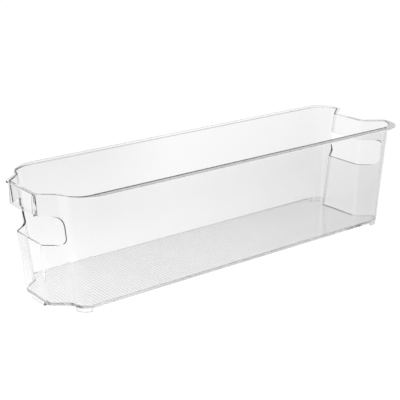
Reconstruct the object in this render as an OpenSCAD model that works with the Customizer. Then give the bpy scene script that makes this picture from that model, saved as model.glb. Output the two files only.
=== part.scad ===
// Narrow clear bin for a fridge shelf, in millimetres.
// One end bows out and the other is recessed, so that bins in a row tuck into each other.
// X runs along the bin from the bowed end to the recessed end and Z is up. The two long
// sides are alike. The origin lies under the middle, on the surface that the bin stands on.

/* [Overall size] */
// Length over the rim
length = 367.2; // [300:0.2:440]
// Width over the rim
width = 109.2; // [90:0.2:140]
// Height of the shell, from the underside of the floor to the rim
shell_h = 93.4; // [86:0.2:130]
// Thickness of the walls
wall_t = 1.6; // [1.2:0.1:2.2]
// Thickness of the floor
floor_t = 2.2; // [1.6:0.1:3]
// How far the side walls lean in between the rim and the base
side_draft = 6.3; // [4:0.1:7]
// How far the end walls lean in between the rim and the base
end_draft = 8.1; // [6:0.1:9]

/* [Edges] */
// Round between the walls and the underside
base_round = 1.2; // [0.6:0.1:1.8]
// Round between the floor and the inside of the walls
inner_round = 1.5; // [0.8:0.1:2]
// Radius of the two corners beside the bow, at the rim
bow_corner_rim = 18; // [17:0.5:19]
// The same at the base
bow_corner_base = 10.5; // [9:0.5:12]
// Radius of the two corners beside the recess, at the rim
ear_corner_rim = 21.5; // [18:0.5:22]
// The same at the base
ear_corner_base = 15.5; // [13:0.5:16]

/* [Bowed end] */
// How far the flat face ends short of the side walls, at the rim
bow_side_rim = 28.7; // [27:0.1:32]
// The same at the base
bow_side_base = 24.5; // [23:0.1:27]
// How far the flat face stands out from the shoulders, at the rim
bow_out_rim = 13.4; // [12:0.1:14]
// The same at the base
bow_out_base = 14.9; // [13:0.1:17]
// Radius where the face turns into its flanks, at the rim
bow_fold_rim = 3; // [2.8:0.1:5]
// The same radius at the base
bow_fold_base = 8; // [5:0.5:9]
// Length of the blend where a flank runs into the corner
root_blend = 3; // [2:0.25:4]
// How far round the corner that blend ends, at the rim
root_turn = 12; // [8:1:16]

/* [Recessed end] */
// How deep the recess is
recess_in = 16.7; // [15:0.1:18]
// How far the recessed face ends short of the side walls, at the rim
recess_side = 32.6; // [32:0.1:35]
// Angle of the recess's flanks to the length
recess_angle = 38; // [35:1:39]
// Where the ears' round corners end, as an angle from the length, at the rim
ear_turn_rim = 20; // [16:1:26]
// The same at the base
ear_turn_base = 40; // [38:1:46]
// Radius where the ears turn into the recess
mouth_r = 4; // [3.5:0.1:4.5]
// Radius in the recess's inner corners
recess_root_r = 5; // [4:0.5:6]

/* [Rim] */
// How far the flange stands out from the side walls
lip_side = 5.2; // [4.8:0.1:6]
// How far it stands out from the end walls
lip_end = 1.8; // [1.4:0.1:2.4]
// How far it stands out at the bow's shoulders, where it is narrowest
lip_shoulder = 0.31275; // [0.2:0.00001:0.6]
// Thickness of the flange
rim_t = 2; // [1.2:0.1:2.6]
// Radius of its two corners beside the recess
rim_ear_r = 21; // [18:0.5:23]
// How far its flat front edge ends short of its sides
rim_bow_side = 33.2; // [32:0.1:35]
// How far round the corner its blend beside the bow ends
rim_turn = 22; // [18:1:26]
// Radius of the flange's own sharp corners
rim_corner_r = 2; // [0.5:0.1:3]

/* [Hand holes] */
// Height of the holes' lower edge above the underside of the floor
hole_low = 51.4; // [42:0.2:54]
// Depth of the band above the holes, with the rim
band_h = 18.2; // [14:0.2:22]
// How far the holes end short of the side walls' rim
hole_side = 15.7; // [15:0.1:17]
// Radius in the holes' corners
hole_r = 8; // [5:0.5:9]

/* [Handle frame] */
// How far the frame stands out from the bow's face, at the holes' upper edge
frame_out = 2.4; // [1.8:0.1:3]
// Thickness of its lip and of its uprights
frame_t = 1.6; // [1.2:0.1:2.4]

/* [Floor ribs] */
// Distance from one rib to the next
rib_pitch = 3; // [2.5:0.25:8]
// Width of a rib at its foot
rib_foot_w = 1.6; // [1:0.1:2.2]
// Width of a rib at its crest
rib_crest_w = 0.8; // [0.5:0.1:1]
// Height of a rib
rib_h = 0.4; // [0.2:0.05:0.8]

/* [Feet] */
// Height of the feet
foot_h = 3; // [1.5:0.1:4]
// Width of the ridges that make the feet
foot_w = 2.6; // [1.6:0.1:3.2]
// How much shorter than the bow's flat face its foot is, at each end
bow_foot_short = 5; // [3:0.1:8]
// How far short of the corner's ends its foot stops, as an angle
foot_short_turn = 5; // [2:1:15]

/* [Hidden] */

overrun = length / 20;
wall_tint = [0.93, 0.95, 0.95, 0.45];
rim_tint = [0.8, 0.84, 0.85, 0.6];
floor_tint = [0.86, 0.88, 0.89, 0.6];

// Steps in the small folds of the plan, in its long corners and in the rounds at the base
fold_steps = 4;
turn_steps = 7;
edge_steps = 3;

// Outside of the walls in plan at the rim
bow_x = lip_end - length / 2;
ear_x = length / 2 - lip_end;
side_y = width / 2 - lip_side;
base_side_y = side_y - side_draft;

// Pairs of the same thing at the base and at the rim. A corner is placed by its centre.
bow_face = [[bow_x + end_draft, base_side_y - bow_side_base], [bow_x, side_y - bow_side_rim]];
bow_fold_r = [bow_fold_base, bow_fold_rim];
bow_corner_r = [bow_corner_base, bow_corner_rim];
bow_corner = [[bow_face[0].x + bow_out_base + bow_corner_base, base_side_y - bow_corner_base],
    [bow_x + bow_out_rim + bow_corner_rim, side_y - bow_corner_rim]];
ear_corner_r = [ear_corner_base, ear_corner_rim];
ear_corner = [[ear_x - end_draft - ear_corner_base, base_side_y - ear_corner_base],
    [ear_x - ear_corner_rim, side_y - ear_corner_rim]];
ear_turn = [ear_turn_base, ear_turn_rim];

// The recess's face and flanks lean alike, which spreads them apart towards the base
recess_spread = tan(45 - recess_angle / 2);
recess_half = side_y - recess_side;
recess_root = [[ear_x - recess_in - end_draft, recess_half + end_draft * recess_spread],
    [ear_x - recess_in, recess_half]];

// The flange has corners of its own. Beside the bow they are as round as its lips allow, so that
// lip_shoulder is left where they come closest to the walls' corners, which they follow.
lip_sum = lip_side + lip_end - lip_shoulder;
rim_bow_r = bow_corner_rim + lip_sum
    + sqrt(lip_sum * lip_sum + lip_shoulder * lip_shoulder - lip_side * lip_side - lip_end * lip_end);
rim_bow_corner = [rim_bow_r - length / 2 + bow_out_rim, width / 2 - rim_bow_r];
rim_ear_corner = [length / 2 - rim_ear_r, width / 2 - rim_ear_r];
rim_recess_root = [recess_root[1].x + lip_end, recess_half - lip_end * recess_spread];

hole_half = side_y - hole_side;
hole_high = shell_h - band_h;
hole_mid = (hole_low + hole_high) / 2;
bow_foot_half = bow_face[0].y - bow_foot_short;
wall_foot = wall_t + inner_round;
// The corners take the holes' round ends and a little more, and the walls between them the rest
part_y = hole_half - hole_r - wall_t;
// Stations along the length between the two ends and the side walls
bow_part_x = rim_bow_corner.x + wall_foot;
recess_part_x = recess_root[0].x - 2 * wall_foot;

function mix(a, b, k) = a + (b - a) * k;
function heading(a) = [cos(a), sin(a)];
function turned(v, a) = [v.x * cos(a) - v.y * sin(a), v.x * sin(a) + v.y * cos(a)];
function across(a, b) = a.x * b.y - a.y * b.x;
function rise(r, a) = r * (1 - cos(a));

// Where the line through p with heading a meets the line through q with heading b
function meet(p, a, q, b) =
    p + heading(a) * across(q - p, heading(b)) / across(heading(a), heading(b));

// Round corner at p, between headings a and b
function round_at(p, a, b, r, steps) =
    let (turn = b - a, from = p - heading(a) * r * tan(abs(turn) / 2),
        centre = from + sign(turn) * r * heading(a + 90))
    [for (i = [0:steps]) centre + turned(from - centre, turn * i / steps)];

// Blend from a to b that sets off and arrives along the lines to q
function blend(a, q, b, steps) =
    [for (i = [0:steps]) let (t = i / steps) (1 - t) * (1 - t) * a + 2 * t * (1 - t) * q + t * t * b];

// Arc about c between two angles
function arc(c, r, a, b, steps) = [for (i = [0:steps]) c + r * heading(mix(a, b, i / steps))];

// Far half of the bow's end in plan, from its face to the side wall. The flank runs from the
// face's end to a corner, and the blend between them ends some way round that corner.
function bow_half_plan(face, corner, r, turn, out, fold_r) =
    let (end = 180 - turn,
        wall_root = corner + r * heading(end) - root_blend * heading(end - 90),
        flank = atan2(wall_root.y - face.y, wall_root.x - face.x),
        fold = meet([face.x - out, 0], 90, face + out * heading(flank + 90), flank),
        arrive = corner + (r + out) * heading(end),
        root = meet(fold, flank, arrive, end - 90),
        leave = root - norm(arrive - root) * heading(flank))
    concat(round_at(fold, 90, flank, fold_r, fold_steps), blend(leave, root, arrive, fold_steps),
        [for (i = [1:turn_steps]) corner + (r + out) * heading(mix(end, 90, i / turn_steps))]);

// Far half of the recess's end in plan, from the side wall to its face
function recess_half_plan(corner, r, turn, root_at, out, fold_r, root_r) =
    let (flank = recess_angle - 180,
        root = meet([root_at.x + out, 0], 90, root_at + out * heading(flank + 90), flank),
        mouth = meet(root, flank, corner + (r + out) * heading(turn), turn - 90))
    concat(arc(corner, r + out, 90, turn, turn_steps),
        round_at(mouth, turn - 90, flank, fold_r, fold_steps),
        round_at(root, flank, -90, root_r, fold_steps));

function both_sides(half) = concat(half, [for (i = [len(half) - 1:-1:0]) [half[i].x, -half[i].y]]);

// Plan of the walls at the base, k = 0, or at the rim, k = 1, set out from their outside
function wall_plan(k, out) =
    both_sides(concat(
        bow_half_plan(bow_face[k], bow_corner[k], bow_corner_r[k], root_turn * k, out, bow_fold_r[k] + out),
        recess_half_plan(ear_corner[k], ear_corner_r[k], ear_turn[k], recess_root[k], out,
            mouth_r + out, recess_root_r - out)));

// Plan of the walls at height z
function wall_at(z, out) = mix(wall_plan(0, out), wall_plan(1, out), z / shell_h);

// Plan of the flange's edge
function rim_plan() =
    both_sides(concat(
        bow_half_plan([-length / 2, width / 2 - rim_bow_side], rim_bow_corner, rim_bow_r, rim_turn, 0,
            rim_corner_r),
        recess_half_plan(rim_ear_corner, rim_ear_r, 0, rim_recess_root, 0, rim_corner_r, rim_corner_r)));

// Closed ring through loops of points, each given as [height, plan].
// Each quad is cut along its shorter diagonal, so inside, outside, near and far agree.
module ring(loops) {
    n = len(loops[0][1]);
    m = len(loops);
    pts = [for (l = loops) for (p = l[1]) [p.x, p.y, l[0]]];
    polyhedron(points = pts,
        faces = [for (j = [0:m - 1]) for (i = [0:n - 1])
            let (a = j * n, b = (j + 1) % m * n, k = (i + 1) % n)
            each norm(pts[a + i] - pts[b + k]) <= norm(pts[b + i] - pts[a + k])
                ? [[a + i, b + k, b + i], [a + i, a + k, b + k]]
                : [[a + i, a + k, b + i], [b + i, a + k, b + k]]]);
}

// Solid between a rectangle at one height and one at another, each [x0, x1, y0, y1, z]
module wedge(low, high) {
    corners = [[0, 2], [1, 2], [1, 3], [0, 3]];
    polyhedron(
        points = [for (r = [low, high]) for (c = corners) [r[c[0]], r[c[1]], r[4]]],
        faces = [[0, 1, 2, 3], [7, 6, 5, 4], [4, 5, 1, 0], [5, 6, 2, 1], [6, 7, 3, 2], [7, 4, 0, 3]]);
}

// Everything between two corners
module zone(from, to) {
    translate(from) cube(to - from);
}

// Round-cornered opening that goes straight through one end, along the length
module hand_hole(x0, x1) {
    w = hole_half - hole_r;
    mouth = concat(arc([w, hole_high - hole_r], hole_r, 0, 90, turn_steps),
        arc([-w, hole_high - hole_r], hole_r, 90, 180, turn_steps),
        arc([-w, hole_low + hole_r], hole_r, 180, 270, turn_steps),
        arc([w, hole_low + hole_r], hole_r, 270, 360, turn_steps));
    translate([x0, 0, 0]) rotate([90, 0, 90]) linear_extrude(x1 - x0) polygon(mouth);
}

// The thin drafted shell all round, with its rounded foot and both hand holes
module shell() {
    outer = [for (i = [0:edge_steps]) let (a = 90 * i / edge_steps)
        [rise(base_round, a), wall_at(rise(base_round, a), base_round * (sin(a) - 1))]];
    inner = [for (i = [0:edge_steps]) let (a = 90 * i / edge_steps, z = floor_t + inner_round * (1 - sin(a)))
        [z, wall_at(z * (1 - i / edge_steps), -wall_t - rise(inner_round, a))]];
    levels = [hole_mid / 2, hole_mid, shell_h - rim_t, shell_h];
    difference() {
        ring(concat(outer, [for (z = levels) [z, wall_at(z, 0)]],
            [for (i = [len(levels) - 1:-1:0]) [levels[i], wall_at(levels[i], -wall_t)]],
            inner, [[0, wall_at(0, -wall_foot)]]));
        hand_hole(-length / 2, bow_part_x);
        hand_hole(recess_part_x, length / 2);
    }
}

// Part of the shell between two corners, lifted onto the feet
module shell_part(from, to) {
    translate([0, 0, foot_h]) intersection() {
        shell();
        zone(from, to);
    }
}

module side_wall(side) {
    low = side > 0 ? part_y : -width / 2;
    color(wall_tint) shell_part([bow_part_x, low, -overrun],
        [recess_part_x, low + width / 2 - part_y, shell_h + overrun]);
}

module bow_corner_wall(side) {
    low = side > 0 ? part_y : -width / 2;
    color(wall_tint) shell_part([-length / 2, low, -overrun],
        [bow_part_x, low + width / 2 - part_y, shell_h + overrun]);
}

module recess_corner_wall(side) {
    low = side > 0 ? part_y : -width / 2;
    color(wall_tint) shell_part([recess_part_x, low, -overrun],
        [length / 2, low + width / 2 - part_y, shell_h + overrun]);
}

// Part of an end wall between the corners, over a span of heights
module end_wall(x0, x1, low, high) {
    color(wall_tint) shell_part([x0, -part_y, low], [x1, part_y, high]);
}

module bow_lower_wall() {
    end_wall(-length / 2, bow_part_x, -overrun, hole_mid);
}

module bow_handle_band() {
    end_wall(-length / 2, bow_part_x, hole_mid, shell_h + overrun);
}

module recess_lower_wall() {
    end_wall(recess_part_x, length / 2, -overrun, hole_mid);
}

module recess_handle_band() {
    end_wall(recess_part_x, length / 2, hole_mid, shell_h + overrun);
}

// Part of the flange between two stations along the length, on one side or on both
module rim_part(x0, x1, y0, y1) {
    low = shell_h - rim_t;
    color(rim_tint) translate([0, 0, foot_h]) intersection() {
        ring([[low, rim_plan()], [shell_h, rim_plan()], [shell_h, wall_at(shell_h, 0)],
            [low, wall_at(low, 0)]]);
        zone([x0, y0, low - overrun], [x1, y1, shell_h + overrun]);
    }
}

// Lip under the band and an upright at each side of it. Their front is upright, so it runs up
// to the flange and stays behind its edge.
module handle_frame() {
    top = shell_h - rim_t;
    lip_top = hole_high + frame_t;
    heights = [hole_high, lip_top, top];
    // The flat part of the face, which the frame keeps to
    edge = [for (z = heights) wall_at(z, 0)[0]];
    front = edge[0].x - frame_out;
    color(rim_tint) translate([0, 0, foot_h]) {
        wedge([front, edge[0].x, -edge[0].y, edge[0].y, hole_high],
            [front, edge[1].x, -edge[1].y, edge[1].y, lip_top]);
        for (side = [0, 1]) mirror([0, side, 0])
            wedge([front, edge[1].x, edge[1].y - frame_t, edge[1].y, lip_top],
                [front, edge[2].x, edge[2].y - frame_t, edge[2].y, top]);
    }
}

// Flat plate with fine ribs across it, inside the walls' foot
module floor_plate() {
    count = floor(length / rib_pitch);
    ribs = [for (i = [0:count - 1]) let (x = (i - (count - 1) / 2) * rib_pitch)
        each [[x - rib_foot_w / 2, floor_t], [x - rib_crest_w / 2, floor_t + rib_h],
            [x + rib_crest_w / 2, floor_t + rib_h], [x + rib_foot_w / 2, floor_t]]];
    profile = concat([[-length, 0], [-length, floor_t]], ribs, [[length, floor_t], [length, 0]]);
    color(floor_tint) translate([0, 0, foot_h]) intersection() {
        linear_extrude(floor_t + rib_h) polygon(wall_at(0, -wall_foot));
        rotate([90, 0, 0]) linear_extrude(width, center = true) polygon(profile);
    }
}

// Ridge under one rounded corner, flush with the flat of the underside
module corner_foot(centre, r, from, to) {
    translate(centre) rotate([0, 0, from + foot_short_turn])
        rotate_extrude(angle = to - from - 2 * foot_short_turn)
            translate([r - base_round - foot_w, 0]) square([foot_w, foot_h]);
}

module feet() {
    face = bow_face[0].x + base_round;
    color(rim_tint) {
        for (side = [0, 1]) mirror([0, side, 0]) {
            corner_foot(bow_corner[0], bow_corner_base, 90, 180);
            corner_foot(ear_corner[0], ear_corner_base, ear_turn_base, 90);
        }
        translate([face, -bow_foot_half, 0]) cube([foot_w, 2 * bow_foot_half, foot_h]);
    }
}

floor_plate();  // floor
side_wall(-1);  // near_side_wall
side_wall(1);  // far_side_wall
bow_lower_wall();
bow_handle_band();
bow_corner_wall(-1);  // near_bow_corner
bow_corner_wall(1);  // far_bow_corner
recess_lower_wall();
recess_handle_band();
recess_corner_wall(-1);  // near_recess_corner
recess_corner_wall(1);  // far_recess_corner
rim_part(bow_part_x, recess_part_x, -width / 2, 0);  // near_rim
rim_part(bow_part_x, recess_part_x, 0, width / 2);  // far_rim
rim_part(-length / 2, bow_part_x, -width / 2, width / 2);  // bow_rim
rim_part(recess_part_x, length / 2, -width / 2, width / 2);  // recess_rim
handle_frame();
feet();
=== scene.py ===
import math
import bmesh
import bpy
import numpy as np
from mathutils import Matrix, Vector


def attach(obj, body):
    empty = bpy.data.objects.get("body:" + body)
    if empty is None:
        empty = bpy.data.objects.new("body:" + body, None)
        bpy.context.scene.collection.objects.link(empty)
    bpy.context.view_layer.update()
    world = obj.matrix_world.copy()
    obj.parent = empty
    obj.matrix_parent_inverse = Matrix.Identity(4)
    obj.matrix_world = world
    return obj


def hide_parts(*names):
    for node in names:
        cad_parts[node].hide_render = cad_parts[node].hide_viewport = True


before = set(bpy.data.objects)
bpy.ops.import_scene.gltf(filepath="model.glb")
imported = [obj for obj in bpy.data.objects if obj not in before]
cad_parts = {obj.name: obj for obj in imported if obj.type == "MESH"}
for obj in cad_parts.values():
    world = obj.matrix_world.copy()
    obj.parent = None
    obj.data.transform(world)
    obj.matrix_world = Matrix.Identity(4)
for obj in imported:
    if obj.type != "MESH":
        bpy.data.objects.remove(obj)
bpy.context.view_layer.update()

scene = bpy.context.scene
mm = 0.001

camera = {
    "at": (-519.10, -657.11, 335.26),  # mm
    "yaw": 37.681,  # degrees from +Y towards +X
    "down": 18.977,  # degrees below level
    "roll": -0.088,
    "lens": 91.704, "sensor": 36,  # mm
    "shift": (-0.00125, 0.00125),
    "clip": (0.01, 50),  # m
}


# Turned by yaw, then down, then rolled about its own line of sight
def addCamera(s):
    yaw, down, roll = (math.radians(s[k]) for k in ("yaw", "down", "roll"))
    ahead = Vector((math.sin(yaw) * math.cos(down), math.cos(yaw) * math.cos(down), -math.sin(down)))
    right = Vector((math.cos(yaw), -math.sin(yaw), 0))
    up = right.cross(ahead)
    side = right * math.cos(roll) + up * math.sin(roll)
    top = up * math.cos(roll) - right * math.sin(roll)
    data = bpy.data.cameras.new("camera")
    data.lens, data.sensor_width = s["lens"], s["sensor"]
    data.shift_x, data.shift_y = s["shift"]
    data.clip_start, data.clip_end = s["clip"]
    obj = bpy.data.objects.new("camera", data)
    obj.matrix_world = Matrix((side, top, -ahead)).transposed().to_4x4()
    obj.location = Vector(s["at"]) * mm
    scene.collection.objects.link(obj)
    scene.camera = obj


addCamera(camera)


# A socket that can be written in sums: each operation adds the Math node it needs
class Val:
    def __init__(self, tree, socket):
        self.tree, self.socket = tree, socket

    def op(self, kind, a, b=0.0):
        return self.tree.add("ShaderNodeMath", {"operation": kind}, {0: a, 1: b})[0]

    def __add__(self, b):
        return self.op("ADD", self, b)

    def __sub__(self, b):
        return self.op("SUBTRACT", self, b)

    def __rsub__(self, a):
        return self.op("SUBTRACT", a, self)

    def __mul__(self, b):
        return self.op("MULTIPLY", self, b)

    def __truediv__(self, b):
        return self.op("DIVIDE", self, b)

    def __rtruediv__(self, a):
        return self.op("DIVIDE", a, self)

    def __gt__(self, b):
        return self.op("GREATER_THAN", self, b)

    def __lt__(self, b):
        return self.op("LESS_THAN", self, b)

    def __abs__(self):
        return self.op("ABSOLUTE", self)

    def cos(self):
        return self.op("COSINE", self)

    __radd__, __rmul__ = __add__, __mul__


class Tree:
    def __init__(self, owner):
        owner.use_nodes = True
        self.nodes, self.links = owner.node_tree.nodes, owner.node_tree.links
        self.nodes.clear()

    # Adds a node of that type, with its settings first and then its sockets' values or links.
    # Gives its outputs, and the node itself last.
    def add(self, kind, settings=None, values=None):
        node = self.nodes.new(kind)
        for name, value in (settings or {}).items():
            if name == "stops":
                ramp = node.color_ramp
                while len(ramp.elements) < len(value):
                    ramp.elements.new(0.5)
                for element, (pos, grey) in zip(ramp.elements, value):
                    element.position, element.color = pos, (grey, grey, grey, 1)
            else:
                setattr(node, name, value)
        for name, value in (values or {}).items():
            if isinstance(value, Val):
                self.links.new(value.socket, node.inputs[name])
            else:
                node.inputs[name].default_value = value
        return [Val(self, out) for out in node.outputs] + [node]

    def named(self, found, name):
        return Val(self, found[-1].outputs[name])


# Grey read from the stops at fac
def greyAt(t, stops, fac):
    return t.add("ShaderNodeValToRGB", {"stops": stops}, {"Fac": fac})[0]


# Colour at share 0 and white at share 1
def toWhite(t, share, colour):
    return t.add("ShaderNodeMix", {"data_type": "RGBA"}, {0: share, 6: colour, 7: (1, 1, 1, 1)})[2]


# The sizes that the solids are built from, in mm. Pairs are at the base and at the rim.
plan = {
    "length": 367.2, "width": 109.2, "high": 93.4, "foot": 3, "wall": 1.6, "floor": 2.2,
    "sideLean": 6.3, "endLean": 8.1,
    "bowHalf": (18.6, 20.7), "bowOut": (14.9, 13.4), "bowFold": (8, 3), "bowCornerR": (10.5, 18),
    "rootBlend": 3, "rootTurn": (0, 12),
    "recessIn": 16.7, "recessHalf": 16.8, "recessAngle": 38, "recessRootR": 5,
    "earCornerR": (15.5, 21.5), "earTurn": (40, 20), "mouthR": 4,
    "foldSteps": 8, "turnSteps": 14,
    # How near the ends of a straight its first and last points lie, in mm and at most as a share of it
    "hold": 1.5, "holdShare": 0.4,
}
flange = {
    "thick": 1.3,  # 2 in the solids, which would draw too thick an edge line
    "outSide": 5.2, "outEnd": 1.8, "bowR": 28.5, "bowHalf": 21.4, "bowTurn": 22, "earR": 21, "foldR": 2,
    "edge": 0.2,  # round on its edges
}
halfLong, halfWide = plan["length"] / 2, plan["width"] / 2
wallX, wallY = halfLong - flange["outEnd"], halfWide - flange["outSide"]
recessSpread = math.tan(math.radians(45 - plan["recessAngle"] / 2))


# Unit vectors at a degrees from +X
def heading(a):
    a = np.radians(a)
    return np.stack([np.cos(a), np.sin(a)], -1)


# Where the line through p with heading a meets the line through q with heading b
def meet(p, a, q, b):
    u, v, w = heading(a), heading(b), np.subtract(q, p)
    return p + u * (w[0] * v[1] - w[1] * v[0]) / (u[0] * v[1] - u[1] * v[0])


# Arc that rounds the corner at p, between headings a and b
def roundAt(p, a, b, r, steps):
    side = np.sign(b - a)
    start = p - heading(a) * r * np.tan(np.radians(abs(b - a) / 2))
    centre = start + side * r * heading(a + 90)
    return centre + r * heading(np.linspace(a, b, steps + 1) - side * 90)


# Quadratic curve: (1-t)^2 a + 2t(1-t) q + t^2 b
def blend(a, q, b, steps):
    t = np.linspace(0, 1, steps + 1)[:, None]
    return (1 - t) ** 2 * a + 2 * t * (1 - t) * q + t * t * b


# Points at distance r from c, from heading a to heading b
def arc(c, r, a, b, steps):
    return c + r * heading(np.linspace(a, b, steps + 1))


# Joins runs of points, with a point near each end of the straights between them
def held(*runs):
    out = [runs[0]]
    for run in runs[1:]:
        a, b = out[-1][-1], run[0]
        step = (b - a) * min(plan["hold"] / max(np.linalg.norm(b - a), 1e-9), plan["holdShare"])
        out += [np.array([a + step, b - step]), run]
    return np.concatenate(out)


# Far half of the bow's end: face, fold, flank, blend and corner
def bowHalf(face, corner, r, turn, out, foldR):
    end = 180 - turn
    wallRoot = corner + r * heading(end) - plan["rootBlend"] * heading(end - 90)
    flank = np.degrees(np.arctan2(*(wallRoot - face)[::-1]))
    fold = meet(np.array([face[0] - out, 0]), 90, face + out * heading(flank + 90), flank)
    arrive = corner + (r + out) * heading(end)
    root = meet(fold, flank, arrive, end - 90)
    leave = root - np.linalg.norm(arrive - root) * heading(flank)
    return [roundAt(fold, 90, flank, foldR, plan["foldSteps"]),
            np.concatenate([blend(leave, root, arrive, plan["foldSteps"]),
                            arc(corner, r + out, end, 90, plan["turnSteps"])[1:]])]


# Far half of the recess's end: corner, ear, flank and face
def recessHalf(corner, r, turn, rootAt, out, foldR, rootR):
    flank = plan["recessAngle"] - 180
    root = meet(np.array([rootAt[0] + out, 0]), 90, rootAt + out * heading(flank + 90), flank)
    mouth = meet(root, flank, corner + (r + out) * heading(turn), turn - 90)
    return [arc(corner, r + out, 90, turn, plan["turnSteps"]),
            roundAt(mouth, turn - 90, flank, foldR, plan["foldSteps"]),
            roundAt(root, flank, -90, rootR, plan["foldSteps"])]


# The far half and its mirror image, as one closed outline
def bothSides(*runs):
    half = held(*runs)
    return held(half, half[::-1] * (1, -1), half[:1])[:-1]


# Outside of the walls at the base, k = 0, or at the rim, k = 1, and the centres of its corners
def wallEnds(k):
    endX, sideY = wallX - plan["endLean"] * (1 - k), wallY - plan["sideLean"] * (1 - k)
    bowR, earR = plan["bowCornerR"][k], plan["earCornerR"][k]
    spread = (wallX - endX) * recessSpread
    return {"face": np.array([-endX, plan["bowHalf"][k]]),
            "bow": np.array([plan["bowOut"][k] + bowR - endX, sideY - bowR]),
            "ear": np.array([endX - earR, sideY - earR]),
            "root": np.array([endX - plan["recessIn"], plan["recessHalf"] + spread])}


# Outline of the walls at the base, k = 0, or at the rim, k = 1, moved outwards by out
def wallPlan(k, out):
    s, at = plan, wallEnds(k)
    return bothSides(
        *bowHalf(at["face"], at["bow"], s["bowCornerR"][k], s["rootTurn"][k], out, s["bowFold"][k] + out),
        *recessHalf(at["ear"], s["earCornerR"][k], s["earTurn"][k], at["root"], out, s["mouthR"] + out,
                    s["recessRootR"] - out))


# Outline at height z, moved outwards by out: every point runs straight from base to rim
def wallAt(z, out):
    k = z / plan["high"]
    return wallPlan(0, out) * (1 - k) + wallPlan(1, out) * k


# Outline of the flange, moved outwards by out
def rimPlan(out):
    s = flange
    bow = np.array([s["bowR"] - halfLong + plan["bowOut"][1], halfWide - s["bowR"]])
    ear = np.array([halfLong - s["earR"], halfWide - s["earR"]])
    root = wallEnds(1)["root"] + s["outEnd"] * np.array([1, -recessSpread])
    return bothSides(
        *bowHalf(np.array([-halfLong, s["bowHalf"]]), bow, s["bowR"], s["bowTurn"], out, s["foldR"] + out),
        *recessHalf(ear, s["earR"], 0, root, out, s["foldR"] + out, s["foldR"] - out))


# Object whose mesh has these points, given in mm
def meshOf(name, points, faces):
    mesh = bpy.data.meshes.new(name)
    mesh.from_pydata(np.asarray(points, float) * mm, [], faces)
    mesh.update()
    obj = bpy.data.objects.new(name, mesh)
    scene.collection.objects.link(obj)
    return obj


# Merges double points and turns every face outwards
def outward(obj):
    work = bmesh.new()
    work.from_mesh(obj.data)
    bmesh.ops.remove_doubles(work, verts=work.verts, dist=1e-7)
    bmesh.ops.recalc_face_normals(work, faces=work.faces)
    work.to_mesh(obj.data)
    work.free()
    return obj


# Closed surface through rings of points: a grid of ring by point, capped at both ends
def skin(name, rings):
    rings = np.asarray(rings, float)
    m, n = rings.shape[:2]
    j, i = np.meshgrid(np.arange(m - 1), np.arange(n), indexing="ij")
    on = (i + 1) % n
    quads = np.stack([j * n + i, j * n + on, j * n + n + on, j * n + n + i], -1).reshape(-1, 4)
    caps = [list(range(n))[::-1], list(range((m - 1) * n, m * n))]
    return outward(meshOf(name, rings.reshape(-1, 3), quads.tolist() + caps))


# Outline at height z of the shell, which stands on the feet
def lifted(xy, z):
    return np.column_stack([xy, np.full(len(xy), z + plan["foot"])])


# Joins the tools to obj, or takes them away, and leaves the result in its mesh
def cut(obj, *tools, how="DIFFERENCE"):
    for tool in tools:
        step = obj.modifiers.new("cut", "BOOLEAN")
        step.operation, step.solver, step.object = how, "MANIFOLD", tool
        bpy.context.view_layer.update()
        mesh = bpy.data.meshes.new_from_object(obj.evaluated_get(bpy.context.evaluated_depsgraph_get()))
        obj.modifiers.clear()
        obj.data = mesh
        bpy.data.objects.remove(tool)
    return obj


shell = {
    "baseRound": 0.5, "innerRound": 0.8, "edgeSteps": 5,
    "levels": (10, 84, 9),  # from, to and number of the rings up the walls
    "near": 1,  # how near the roundings the next rings lie
    "sharp": 28,  # degrees from which an edge is crisp
    "level": 0.9999,  # the normal's z from which a face is level
}


# Outline carried up the outside, over the flange and down the inside to the floor
def makeShell(s):
    top, under = plan["high"], plan["high"] - flange["thick"]
    turn = np.radians(np.linspace(0, 90, s["edgeSteps"] + 1))
    r, q, e = s["baseRound"], s["innerRound"], flange["edge"]
    rings = [lifted(wallAt(r - r * np.cos(a), r * np.sin(a) - r), r - r * np.cos(a)) for a in turn]
    levels = np.concatenate([[r + s["near"]], np.linspace(*s["levels"]), [under - s["near"]]])
    rings += [lifted(wallAt(z, 0), z) for z in (*levels, under)]
    rings += [lifted(rimPlan(e * np.sin(a) - e), under + e - e * np.cos(a)) for a in turn]
    rings += [lifted(rimPlan(e * np.cos(a) - e), top - e + e * np.sin(a)) for a in turn]
    rings += [lifted(wallAt(top, -plan["wall"] + e * (1 - np.sin(a))), top - e + e * np.cos(a)) for a in turn]
    rings += [lifted(wallAt(z, -plan["wall"]), z) for z in levels[::-1]]
    # The last ones turn in to the floor, where they take the outline of the base
    rings += [lifted(wallAt(z * (1 - np.degrees(a) / 90), -plan["wall"] - q + q * np.cos(a)), z)
              for a in turn for z in [plan["floor"] + q - q * np.sin(a)]]
    return skin("clearBin", rings)


# Crisp edges where the surface turns sharply, and level faces flat
def shade(obj, s):
    obj.data.set_sharp_from_angle(angle=math.radians(s["sharp"]))  # this makes every face smooth
    faces = obj.data.polygons
    normals = np.zeros(len(faces) * 3)
    faces.foreach_get("normal", normals)
    faces.foreach_set("use_smooth", np.abs(normals[2::3]) < s["level"])


handHole = {
    "low": 51.4, "high": 75.2, "half": 33.7, "r": 8, "steps": 10,
    "spans": [(-200, -140), (145, 200)],  # from and to along the length, at the bow and at the recess
}


# Rounded rectangle across the bin, carried along the length
def holeTool(s, span):
    w, r = s["half"] - s["r"], s["r"]
    edge = np.concatenate([arc((sy * w, (s["high"] - r) if up else (s["low"] + r)), r, a, a + 90, s["steps"])
                           for sy, up, a in ((1, 1, 0), (-1, 1, 90), (-1, 0, 180), (1, 0, 270))])
    return skin("holeTool", [np.column_stack([np.full(len(edge), x), edge[:, 0], edge[:, 1] + plan["foot"]])
                             for x in span])


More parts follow.
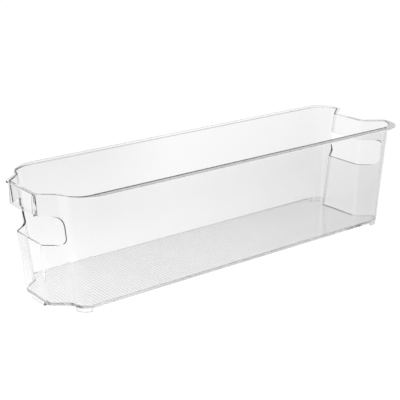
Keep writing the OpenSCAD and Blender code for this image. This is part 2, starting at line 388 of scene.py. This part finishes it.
handleFrame = {"out": 2.4, "thick": 1.6, "sunk": 0.8}


# Bar between two heights, from the frame's upright front to just inside the bow's face
def frameBar(s, low, high, y0, y1):
    front = wallAt(handHole["high"], 0)[0][0] - s["out"]
    ends = [(z + plan["foot"], wallAt(z, 0)[0][0] + s["sunk"]) for z in (low, high)]
    return skin("frameBar", [[(front, y0, z), (x, y0, z), (x, y1, z), (front, y1, z)] for z, x in ends])


# Lip under the bow's band, and an upright at each end of it
def frameTools(s):
    z0, z1 = handHole["high"], plan["high"] - flange["thick"] / 2
    half = wallAt(z0, 0)[0][1]
    posts = [frameBar(s, z0 + s["thick"] / 2, z1, *sorted((side * half, side * (half - s["thick"]))))
             for side in (1, -1)]
    return [frameBar(s, z0, z0 + s["thick"], -half, half), *posts]


floorRibs = {
    "pitch": 3, "foot": 1.6, "crest": 1.56, "high": 0.1,
    "from": -170, "to": 168,  # along the length
    "under": 0.03, "sunk": 0.6,  # how far the ribs and their plate reach into the floor
    "gap": 0.3,  # to the rounding at the walls' feet
    "reach": (190, 60),  # half sizes of the tool before it is trimmed
    "over": 5,  # how far the trimming reaches over the floor
}


# Comb profile along the length, carried across the floor and trimmed to its outline
def ribTool(s):
    count = int(plan["length"] // s["pitch"])
    x = (np.arange(count) - (count - 1) / 2) * s["pitch"]
    x = x[(x > s["from"]) & (x < s["to"])]
    endX, endY = s["reach"]
    base, high = plan["floor"] + plan["foot"] - s["under"], s["high"] + s["under"]
    foot, crest = s["foot"] / 2, s["crest"] / 2
    bump = np.array([(-foot, 0), (-crest, high), (crest, high), (foot, 0)])
    comb = (np.column_stack([x, np.full(len(x), base)])[:, None] + bump).reshape(-1, 2)
    line = np.concatenate([[(-endX, base - s["sunk"]), (-endX, base)], comb,
                           [(endX, base), (endX, base - s["sunk"])]])
    tool = skin("ribTool", [np.column_stack([line[:, 0], np.full(len(line), y), line[:, 1]])
                            for y in (-endY, endY)])
    edge = wallAt(0, -plan["wall"] - shell["innerRound"] - s["gap"])
    trim = skin("ribTrim", [lifted(edge, z) for z in (0, plan["floor"] + s["over"])])
    return cut(tool, trim, how="INTERSECT")


feet = {"wide": 2.6, "shortTurn": 5, "bowHalf": 10, "sunk": 0.8, "steps": 12}


# Strip between two radii about a corner's centre, carried up from the shelf
def footRidge(s, centre, r, a, b):
    path = np.linspace(a, b, s["steps"] + 1)
    edge = np.concatenate([centre + r * heading(path), centre + (r - s["wide"]) * heading(path[::-1])])
    return skin("footRidge", [np.column_stack([edge, np.full(len(edge), z)])
                              for z in (0, plan["foot"] + s["sunk"])])


# Ridges under the four corners, and a bar under the bow
def footTools(s):
    at, inset, short = wallEnds(0), shell["baseRound"], s["shortTurn"]
    tools = [footRidge(s, at[end] * (1, side), r - inset, side * (a + short), side * (b - short))
             for end, r, a, b in (("bow", plan["bowCornerR"][0], 90, 180),
                                  ("ear", plan["earCornerR"][0], plan["earTurn"][0], 90))
             for side in (1, -1)]
    x, y = at["face"][0] + inset, s["bowHalf"]
    bar = [[(x, -y, z), (x + s["wide"], -y, z), (x + s["wide"], y, z), (x, y, z)]
           for z in (0, plan["foot"] + s["sunk"])]
    return tools + [skin("footBar", bar)]


plastic = {
    "ior": 1.5, "rough": 0.0,
    "depth": 1.0, "depthColour": (0.4, 0.41, 0.41, 1),  # what its thickness takes from the light
    "shadow": 0.93,  # share of the light that each surface lets through into its shadow
    "waveScale": 25.0, "waveStrength": 0.02, "waveDepth": 0.001,  # faint waves of the moulding
    # Lengths below are in m. The painted shade and painted highlights run along x over this length, from 0 to
    # 1 with the middle at 0.5
    "long": 0.4,
    # Painted shade on the walls, darker along the length, in place of the grey that reflections give the
    # clear walls
    "wallShadeStops": [(0.1, 1.0), (0.5, 0.98), (0.8, 0.94), (1.0, 0.9)],
    # Painted shade on the floor, darker along the length
    "floorShadeStops": [(0.1, 0.95), (0.3, 0.89), (0.9, 0.82), (1.0, 0.78)],
    "farShadeStops": [(0.1, 0.87), (0.3, 0.89), (0.48, 1.0), (1.0, 1.0)],  # the far half's, on top of the walls'
    "high": 0.09,  # where the far half's painted shade is in full, and it fades towards the floor
    "lowShade": 0.065,  # painted shade: how much darker the walls get towards the floor, most at the recess
    # Painted highlights, bright upright streaks on the near wall in place of lamp reflections: they lean by x
    # per z, from x at 0 over a width to 1
    "highlightLean": 0.0516, "highlightFrom": 0.075, "highlightOver": 0.065,
    "highlightStops": [(0.09, 0), (0.112, 0.5), (0.135, 0), (0.22, 0), (0.25, 1), (0.28, 0),
                    (0.86, 0), (0.914, 0.4), (0.97, 0)],
    "ribShade": 0.25, "ribFrom": 0.0045,  # the ribs' relief shows as faint stripes of painted shade above that z, least at the recess
    "floorTop": 0.0056, "floorHalf": 0.0395,  # up to there in z and y, the painted shade is the floor's
    "rimTop": 0.0963, "rimShade": 0.4,  # painted shade: the near rim's top shows as a dark line
}


# Clear plastic whose colour carries painted shade and painted highlights, worked out from the place on the
# bin
def clearPlastic(s):
    mat = bpy.data.materials.new("clearPlastic")
    t = Tree(mat)
    where = t.named(t.add("ShaderNodeTexCoord"), "Object")
    x, y, z = t.add("ShaderNodeSeparateXYZ", None, {"Vector": where})[:3]
    along, up, near = x / s["long"] + 0.5, z / s["high"], y < 0.0
    # Painted shade on the walls: darker along the length, over the far half and towards the floor
    walls = greyAt(t, s["wallShadeStops"], along)
    walls = walls * (1 - (y > 0.0) * (1 - greyAt(t, s["farShadeStops"], along)) * up)
    walls = walls * (1 - s["lowShade"] * along * (1 - up))
    # Painted highlights: bright streaks on the near wall, in place of lamp reflections
    paintedHighlight = greyAt(t, s["highlightStops"], (x + z * s["highlightLean"] - s["highlightFrom"]) / s["highlightOver"])
    walls = walls + paintedHighlight * near * (1 - walls)
    # Painted shade of the floor's ribs, as faint stripes along the length
    stripes = (x * (2 * math.pi / (floorRibs["pitch"] * mm))).cos() * 0.5 + 0.5
    stripes = stripes * (1 - along) * (z > s["ribFrom"])
    # Painted shade of the floor, darker along the length, less the ribs' stripes
    base = greyAt(t, s["floorShadeStops"], along) * (1 - stripes * s["ribShade"])
    onFloor = (z < s["floorTop"]) * (abs(y) < s["floorHalf"])
    # Painted shade: a dark line along the near rim's top
    onRim = (z > s["rimTop"]) * near
    tone = (walls + onFloor * (base - walls)) * (1 - onRim * (1 - s["rimShade"]))
    waves = t.add("ShaderNodeTexNoise", None, {"Vector": where, "Scale": s["waveScale"], "Detail": 1.0})
    bump = t.add("ShaderNodeBump", None, {
        "Height": waves[0], "Strength": s["waveStrength"], "Distance": s["waveDepth"]})
    body = t.add("ShaderNodeBsdfPrincipled", None, {
        "Base Color": tone, "Roughness": s["rough"], "IOR": s["ior"],
        "Transmission Weight": 1.0, "Normal": bump[0]})
    clear = t.add("ShaderNodeBsdfTransparent", None, {"Color": (s["shadow"],) * 3 + (1,)})
    path = t.add("ShaderNodeLightPath")
    mix = t.add("ShaderNodeMixShader", None, {0: t.named(path, "Is Shadow Ray"), 1: body[0], 2: clear[0]})
    depth = t.add("ShaderNodeVolumeAbsorption", None, {"Color": s["depthColour"], "Density": s["depth"]})
    t.add("ShaderNodeOutputMaterial", None, {"Surface": mix[0], "Volume": depth[0]})
    return mat


print("shell")
clearBin = makeShell(shell)
print("hand holes, handle frame, ribs and feet")
cut(clearBin, *frameTools(handleFrame), ribTool(floorRibs), *footTools(feet), how="UNION")
cut(clearBin, *[holeTool(handHole, span) for span in handHole["spans"]])
shade(clearBin, shell)
clearBin.data.materials.clear()
clearBin.data.materials.append(clearPlastic(plastic))
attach(clearBin, "root")
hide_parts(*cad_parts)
print("triangles", sum(len(p.vertices) - 2 for p in clearBin.data.polygons))


studio = {
    "half": 3000, "drop": 0.2,  # mm: half the floor's width, and how far it lies under the feet
    "floorGrey": 0.9,
    "glow": 0.8,  # share of the floor's white that isn't lit by the lamp
    # What reflections see of the floor, by its place in m plus 0.5: white from the bin's middle
    # backwards, and in front of it a grey that gets darker along the length
    "behindStops": [(0.4, 0.0), (0.5, 1.0)], "frontStops": [(0.3, 0.35), (0.7, 0.05)],
    # What they see all round, from straight down at 0 to straight up at 1
    "roomStops": [(0.5, 1.0), (0.58, 0.95), (0.7, 0.85), (1.0, 0.5)],
    "sun": 2.0, "sunAngle": 40, "sunAt": (-0.3, 0.2, 2.0),
    "bounces": 32, "glossyBounces": 16,  # light crosses many walls on its way
}


# 1 where a surface is seen straight or through clear plastic, 0 in a reflection or in bounced light
def seenStraight(t):
    path = t.add("ShaderNodeLightPath")
    return t.named(path, "Glossy Depth") + t.named(path, "Diffuse Depth") < 0.5


# White floor that shows the bin's shadow, and is greyer in reflections
def floorSheet(s):
    h, z = s["half"], -s["drop"]
    sheet = meshOf("studioFloor", [(-h, -h, z), (h, -h, z), (h, h, z), (-h, h, z)], [(0, 1, 2, 3)])
    mat = bpy.data.materials.new("studioWhite")
    t = Tree(mat)
    lit = t.add("ShaderNodeBsdfDiffuse", None, {"Color": (s["floorGrey"],) * 3 + (1,)})
    where = t.named(t.add("ShaderNodeTexCoord"), "Object")
    x, y = t.add("ShaderNodeSeparateXYZ", None, {"Vector": where})[:2]
    mirrored = toWhite(t, greyAt(t, s["behindStops"], y + 0.5), greyAt(t, s["frontStops"], x + 0.5))
    seen = toWhite(t, seenStraight(t), mirrored)
    glow = t.add("ShaderNodeEmission", None, {"Color": seen, "Strength": 1.0})
    mix = t.add("ShaderNodeMixShader", None, {0: s["glow"], 1: lit[0], 2: glow[0]})
    t.add("ShaderNodeOutputMaterial", None, {"Surface": mix[0]})
    sheet.data.materials.append(mat)


# White behind the bin, and a greyer room in reflections, so that the clear walls show as grey
def skyLight(s):
    world = bpy.data.worlds.new("studio")
    scene.world = world
    t = Tree(world)
    way = t.named(t.add("ShaderNodeTexCoord"), "Generated")
    z = t.add("ShaderNodeSeparateXYZ", None, {"Vector": way})[2]
    seen = toWhite(t, seenStraight(t), greyAt(t, s["roomStops"], z * 0.5 + 0.5))
    glow = t.add("ShaderNodeBackground", None, {"Color": seen, "Strength": 1.0})
    t.add("ShaderNodeOutputWorld", None, {"Surface": glow[0]})


# Broad sun that shines on the bin from sunAt
def overheadSun(s):
    data = bpy.data.lights.new("overhead", "SUN")
    data.energy, data.angle = s["sun"], math.radians(s["sunAngle"])
    obj = bpy.data.objects.new("overhead", data)
    obj.location = s["sunAt"]
    obj.rotation_euler = (-Vector(s["sunAt"])).to_track_quat("-Z", "Y").to_euler()
    scene.collection.objects.link(obj)


floorSheet(studio)
skyLight(studio)
overheadSun(studio)
scene.view_settings.view_transform = "Standard"
scene.cycles.max_bounces = studio["bounces"]
scene.cycles.transmission_bounces = studio["bounces"]
scene.cycles.transparent_max_bounces = studio["bounces"]
scene.cycles.glossy_bounces = studio["glossyBounces"]
print("light")

bpy.context.view_layer.update()
